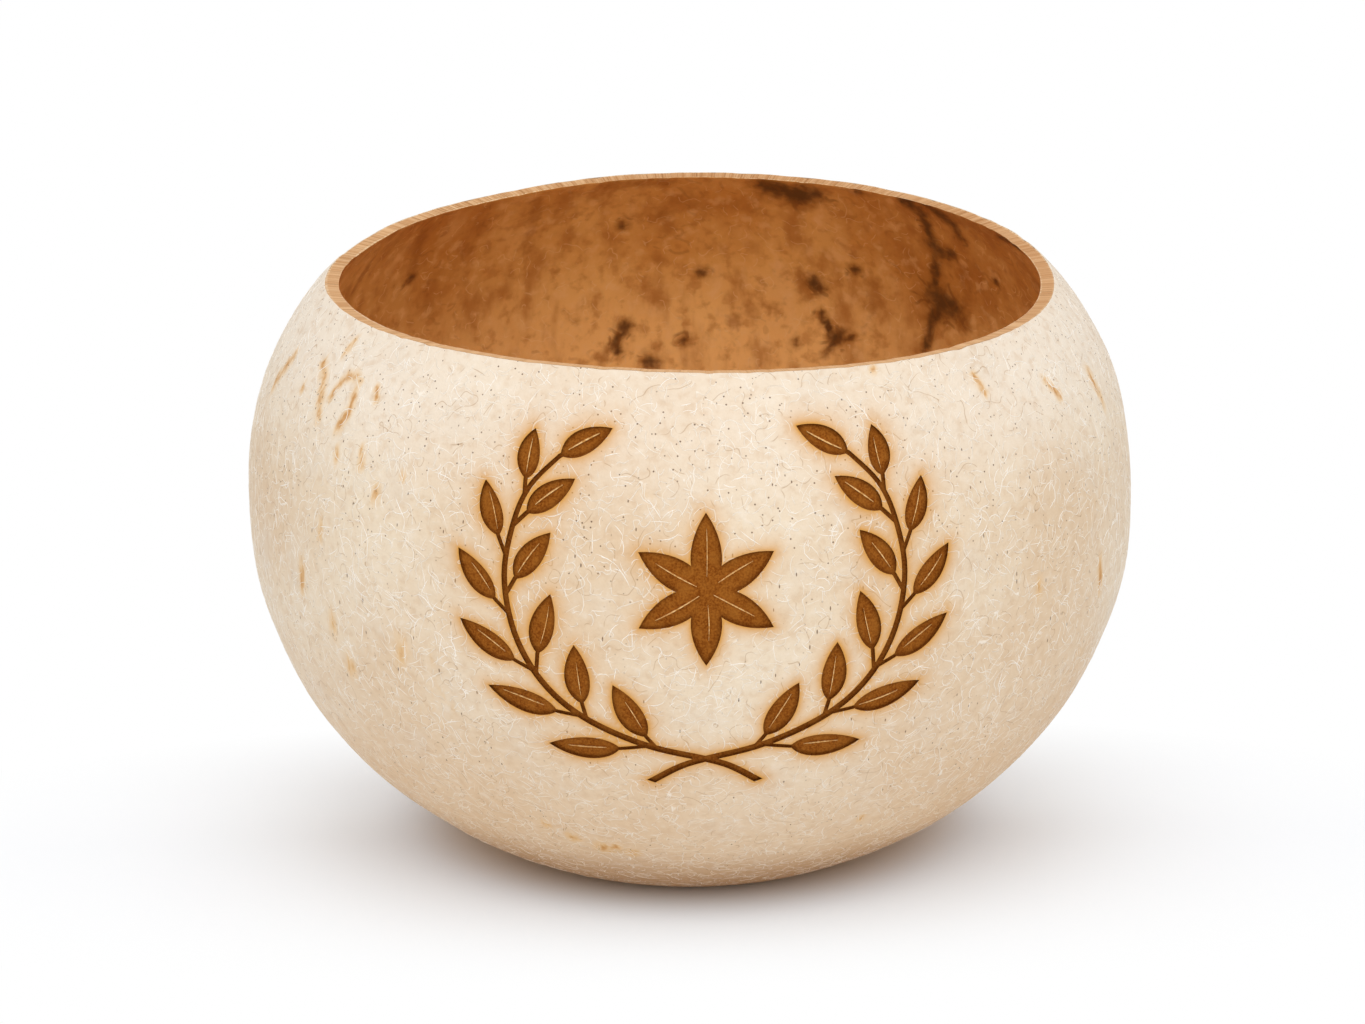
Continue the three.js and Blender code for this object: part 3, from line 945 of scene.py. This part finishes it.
upper = np.linspace(math.asin(HOLLOW_RISE / HOLLOW_TALL), 0, 44, endpoint=False)
lower = np.linspace(0, math.pi / 2, 76)
hollow_heights = BELLY_HEIGHT + np.append(HOLLOW_TALL * np.sin(upper), -HOLLOW_DEEP * np.sin(lower))
hollow = list(zip(hollow_radius(hollow_heights), hollow_heights))
rim_radii = np.linspace(back[-1][0], hollow[0][0], 5)[1:-1]
rim_middle = list(zip(rim_radii, rim_height_at(rim_radii)))
wood_bm = turned([(0.0, 0.0), *back, *rim_middle, *hollow], EVEN_TURN)
round_ring(wood_bm, hollow[0][0], hollow[0][1], 0.18 * MM)
print("Faces of the wood:", len(wood_bm.faces))

# %% [markdown]
# Each face of the wood takes the finish of the place where it lies: the base looks down, the rim looks up
# at the top of the wall, and the rest belongs to the inside.

# %% Finishes of the wood
for face in wood_bm.faces:
    middle_point = face.calc_center_median()
    if middle_point.z < 0.05 * MM:
        face.material_index = 2
    elif middle_point.z > RIM_HEIGHT - 1.2 * MM and face.normal.z > 0.75:
        face.material_index = 1
wood = make_layer("wood_shell", wood_bm, inside_material, rim_material, base_material)
wood.data.set_sharp_from_angle(angle=SHARP_ANGLE)
report(wood)

# %% [markdown]
# The marks inside follow the photograph on the walls that it shows: veins that come down from the rim at
# the right, a big blotch and small stars with rays are dark, others are soft. Those on the hidden front
# wall are guessed.

# %% Dark marks in the wood
WOOD_MARKS = [
    (1.1, (47.5, 85.5), (45.5, 83.5)), (0.65, (45.5, 83.5), (46, 80.5), (46, 77), (47.5, 72), (48.5, 69.5)),
    (0.9, (48.5, 69.5), (47.5, 67), (49.5, 64)), (0.65, (49.5, 64), (50.5, 60), (51, 58.5)),
    (1.1, (46.5, 77.5), (45, 76.5)), (1.7, (48.5, 68), (45.5, 67)), (1.0, (43, 86), (39, 83)),
    (0.7, (39, 83), (38.5, 80.5)), (0.8, (43, 77)), (0.5, (34, 74)),
    (0.6, (24, 84.5), (14, 85)),
    (1.6, (74.5, 84.5), (70.5, 83.5), (66.5, 84)), (0.8, (57.5, 85.5)), (0.8, (69, 67.5), (68, 66.5)),
    (0.7, (62, 70.5)), (0.9, (66, 57.5)), (0.5, (66, 57.5), (68, 62)),
    (0.5, (66, 57.5), (63, 58.5)), (0.5, (67.5, 55), (64.5, 59.5)), (0.7, (86.5, 68)),
    (0.6, (72, 56.5)), (0.7, (136, 73)),
    (0.7, (99, 77)), (0.9, (98, 59)), (0.55, (98, 58.5), (99.5, 56), (99, 54.5)), (0.7, (89, 56)),
    (0.9, (94.5, 52.5), (93.5, 52)), (0.9, (-60, 60), (-62, 52)), (0.8, (8, 66), (10, 58)),
]
WOOD_SHADES = [
    (0.7, (138.5, 83), (136.5, 77.5), (136, 72.5)), (0.8, (115, 83.5), (114.5, 78), (115, 73.5)),
    (0.5, (150, 80.5), (151, 74.5)), (1.1, (60, 64.5), (59, 68)), (0.8, (41.5, 74), (43.5, 64)),
    (1.1, (44, 85), (33, 84.5), (22, 84)), (0.9, (125.5, 76)), (0.8, (93, 78)), (0.8, (81.5, 59.5)),
    (0.9, (102, 85), (92, 85)), (0.8, (75.5, 62)), (0.8, (101.5, 53.5)),
    (0.7, (71, 68.5), (70.5, 64.5)), (1.2, (-120, 70), (-118, 62)), (0.9, (-170, 58)),
]
paint(wood, "blot", mark_field(coordinates(wood), WOOD_MARKS, hollow_radius))
paint(wood, "shade", mark_field(coordinates(wood), WOOD_SHADES, hollow_radius))
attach(wood, "root")
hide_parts("woody_shell")
print("Marks in the wood:", len(WOOD_MARKS + WOOD_SHADES))

# %% [markdown]
# ## Loose fibres
# Single fibres stand up from the matted skin and catch the light. Each is a short line on the outside,
# straight or slightly curved, thin, tapered at both ends and half sunk in the skin. They keep clear of the
# cuts, because the beam burned them away there.

# %% Lines of the fibres
FIBRE_POINTS = 5
FIBRE_SINK = 0.02 * MM
CUT_CLEARANCE = 0.25 * MM
SLOPE_STEP = 0.1 * MM
fibre_chance = np.random.default_rng(23)


def fibre_lines(count):
    """Points of many short lines on the outside, as an array of lines by points by axes."""
    angle = fibre_chance.uniform(0, 2 * math.pi, count)
    height = fibre_chance.uniform(4 * MM, RIM_HEIGHT - 1.5 * MM, count)
    heading = fibre_chance.uniform(0, 2 * math.pi, count)
    step = fibre_chance.uniform(1.0 * MM, 4.2 * MM, count) / (FIBRE_POINTS - 1)
    bend = fibre_chance.normal(0, 0.38, count)
    rows = []
    for i in range(FIBRE_POINTS):
        level = np.clip(height, SKIN_LIFT, RIM_HEIGHT - 0.6 * MM)
        radius = outside_radius(level)
        sunk = outside_radius(level, FIBRE_SINK)
        rows.append(np.stack([sunk * np.cos(angle), sunk * np.sin(angle), level], axis=1))
        slope = (outside_radius(level + SLOPE_STEP) - radius) / SLOPE_STEP
        heading += bend
        angle += step * np.cos(heading) / radius
        height += step * np.sin(heading) / np.sqrt(1 + slope ** 2)
    return np.stack(rows, axis=1)


def clear_of_cuts(lines):
    """The lines that touch no cut, bent to the shell's natural form."""
    points = natural(lines.reshape(-1, 3))
    gaps = cut_distance(points, all_outlines).reshape(lines.shape[:2])
    return points.reshape(lines.shape)[(gaps > CUT_CLEARANCE).all(axis=1)]


# %% Material of the fibres
fibre_material, net = new_net("skin_fibre_finish")
place = net.place()
vary = net.noise(place, 160.0, 2.0, 0.0)
height = net.axis(place, "Z")
scorch = net.painted("scorch")
# Painted shade: like the skin, the fibres are warmer and darker towards the bottom.
color = net.coats(
    tint("f2e5d2"), (net.fade(vary, 0.35, 0.65), "fdf6ec"),
    (net.fade(height, 50 * MM, 10 * MM) * 0.6, "e6c9a2"), (net.fade(scorch, 1.6, 0.0) * 0.6, "dcae76"))
surface(net, color, 0.55, vary, 0.02 * MM, 0.35)

# %% [markdown]
# Blender's curves give each line its thin, tapered section. The fibres are two pieces, so that each stays
# light enough to handle.

# %% Fibre pieces
FIBRES = 5200
FIBRE_RADIUS = 0.06 * MM
FIBRE_TAPER = np.array([0.3, 0.9, 1.0, 0.9, 0.3])


def fibre_piece(name):
    """A piece of loose fibres, laid over the whole outside."""
    curve = bpy.data.curves.new(name, "CURVE")
    curve.dimensions = "3D"
    curve.bevel_depth = FIBRE_RADIUS
    curve.bevel_resolution = 0
    curve.use_fill_caps = True
    for line in clear_of_cuts(fibre_lines(FIBRES)):
        spline = curve.splines.new("POLY")
        spline.points.add(FIBRE_POINTS - 1)
        spline.points.foreach_set("co", np.append(line, np.ones((FIBRE_POINTS, 1)), axis=1).ravel())
        spline.points.foreach_set("radius", FIBRE_TAPER * fibre_chance.uniform(0.7, 1.3))
    piece = new_object(name, applied(new_object(name, curve)))
    paint(piece, "scorch", cut_distance(coordinates(piece), all_outlines) / MM)
    piece.data.materials.clear()
    piece.data.materials.append(fibre_material)
    piece.data.shade_smooth()
    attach(piece, "root")
    report(piece)


fibre_piece("skin_fibres_a")
fibre_piece("skin_fibres_b")

# %% [markdown]
# ## Floor, light and camera
# The bowl stands on a plain white sweep in a light tent: even light from all round, a wide lamp above the
# front and one right overhead that reaches into the bowl. Close to the base the floor is painted a little
# warm, a painted bounce of the bowl's colour, and it keeps its soft shadow near the bowl. Farther away the
# camera sees it fade to the photograph's paper white.

# %% Floor
WHITE = (1.0, 1.0, 1.0, 1.0)
floor_bm = bmesh.new()
bmesh.ops.create_grid(floor_bm, x_segments=1, y_segments=1, size=3.0)
floor = make_piece("studio_floor", floor_bm)
floor_material, net = new_net("studio_floor_finish")
seen = net.node("LightPath", {}, {}, "Is Camera Ray")
place = net.place()
round_base = net.vector("MULTIPLY", place, (1.0, 1.2, 1.0))
from_base = net.vector("LENGTH", round_base, output="Value")
flat_oval = net.vector("MULTIPLY", net.vector("ADD", place, (0, 4 * MM, 0)), (0.35, 1.0, 1.0))
spread = net.vector("LENGTH", flat_oval, output="Value")
# Painted bounce: the paper is painted warm close to the base, for the bowl's warm light in its shadow.
paper_and_bounce = net.coats(tint("f4f7fc"), (net.fade(from_base, 45 * MM, 30 * MM), "f1e2cc"))
paper_and_bounce = net.node("BsdfDiffuse", {}, {"Color": paper_and_bounce})
white = net.node("Emission", {}, {"Color": WHITE, "Strength": 1.0})
share = seen * net.fade(from_base, BASE_RADIUS + 4 * MM, BASE_RADIUS + 23 * MM)
behind = net.fade(net.axis(place, "Y"), -12 * MM, 6 * MM)
paler = 0.15 + 0.2 * behind + 0.85 * net.fade(spread, 12 * MM, 58 * MM)
share = share * net.math("MINIMUM", paler, 1.0)
sweep = net.node("MixShader", {}, {0: share, 1: paper_and_bounce, 2: white})
net.node("OutputMaterial", {}, {"Surface": sweep})
floor.data.materials.append(floor_material)
print("Nodes of the floor:", len(net.tree.nodes))

# %% World and lamps
world = bpy.data.worlds.new("studio_world")
bpy.context.scene.world = world
world.use_nodes = True
net = Net(world.node_tree)
camera_ray = net.node("LightPath", {}, {}, "Is Camera Ray")
around = net.node("Background", {}, {"Color": WHITE, "Strength": 0.76})
backdrop = net.node("Background", {}, {"Color": WHITE, "Strength": 1.0})
tent = net.node("MixShader", {}, {0: camera_ray, 1: around, 2: backdrop})
net.node("OutputWorld", {}, {"Surface": tent})


def lamp(name, place, aim, size, power):
    """A square soft lamp at a place, turned to a point."""
    light = bpy.data.lights.new(name, "AREA")
    light.shape = "SQUARE"
    light.size = size
    light.energy = power
    fitting = new_object(name, light)
    fitting.location = place
    fitting.rotation_euler = (Vector(aim) - Vector(place)).to_track_quat("-Z", "Y").to_euler()
    print(name, power, "W")


lamp("key_lamp", (0, -0.8, 0.9), (0, 0, 0.05), 0.9, 4.2)
lamp("top_lamp", (0, -0.05, 1.15), (0, 0, 0.05), 0.8, 1.8)

# %% [markdown]
# The camera stands a little left of the wreath's middle and looks down at it by about 19 degrees, from
# 0.6 m away. Its lens keeps the whole bowl in the frame, as in the photograph.

# %% Camera
AIM = Vector((-1.14 * MM, 0.04 * MM, 48.49 * MM))
DISTANCE = 0.6
SENSOR_WIDTH = 36.0
FOCAL_PIXELS = 4036.08
PHOTO_WIDTH = 1365
ELEVATION = math.radians(19.4827)
AZIMUTH = math.radians(-1.8)
camera_data = bpy.data.cameras.new("photo_camera")
camera_data.sensor_width = SENSOR_WIDTH
camera_data.lens = FOCAL_PIXELS * SENSOR_WIDTH / PHOTO_WIDTH
camera = new_object("photo_camera", camera_data)
away = Vector((math.sin(AZIMUTH) * math.cos(ELEVATION), -math.cos(AZIMUTH) * math.cos(ELEVATION),
               math.sin(ELEVATION)))
camera.location = AIM + DISTANCE * away
camera.rotation_euler = (-away).to_track_quat("-Z", "Y").to_euler()
bpy.context.scene.camera = camera
bpy.context.scene.view_settings.view_transform = "Standard"
print("Lens in mm:", round(camera_data.lens, 1))
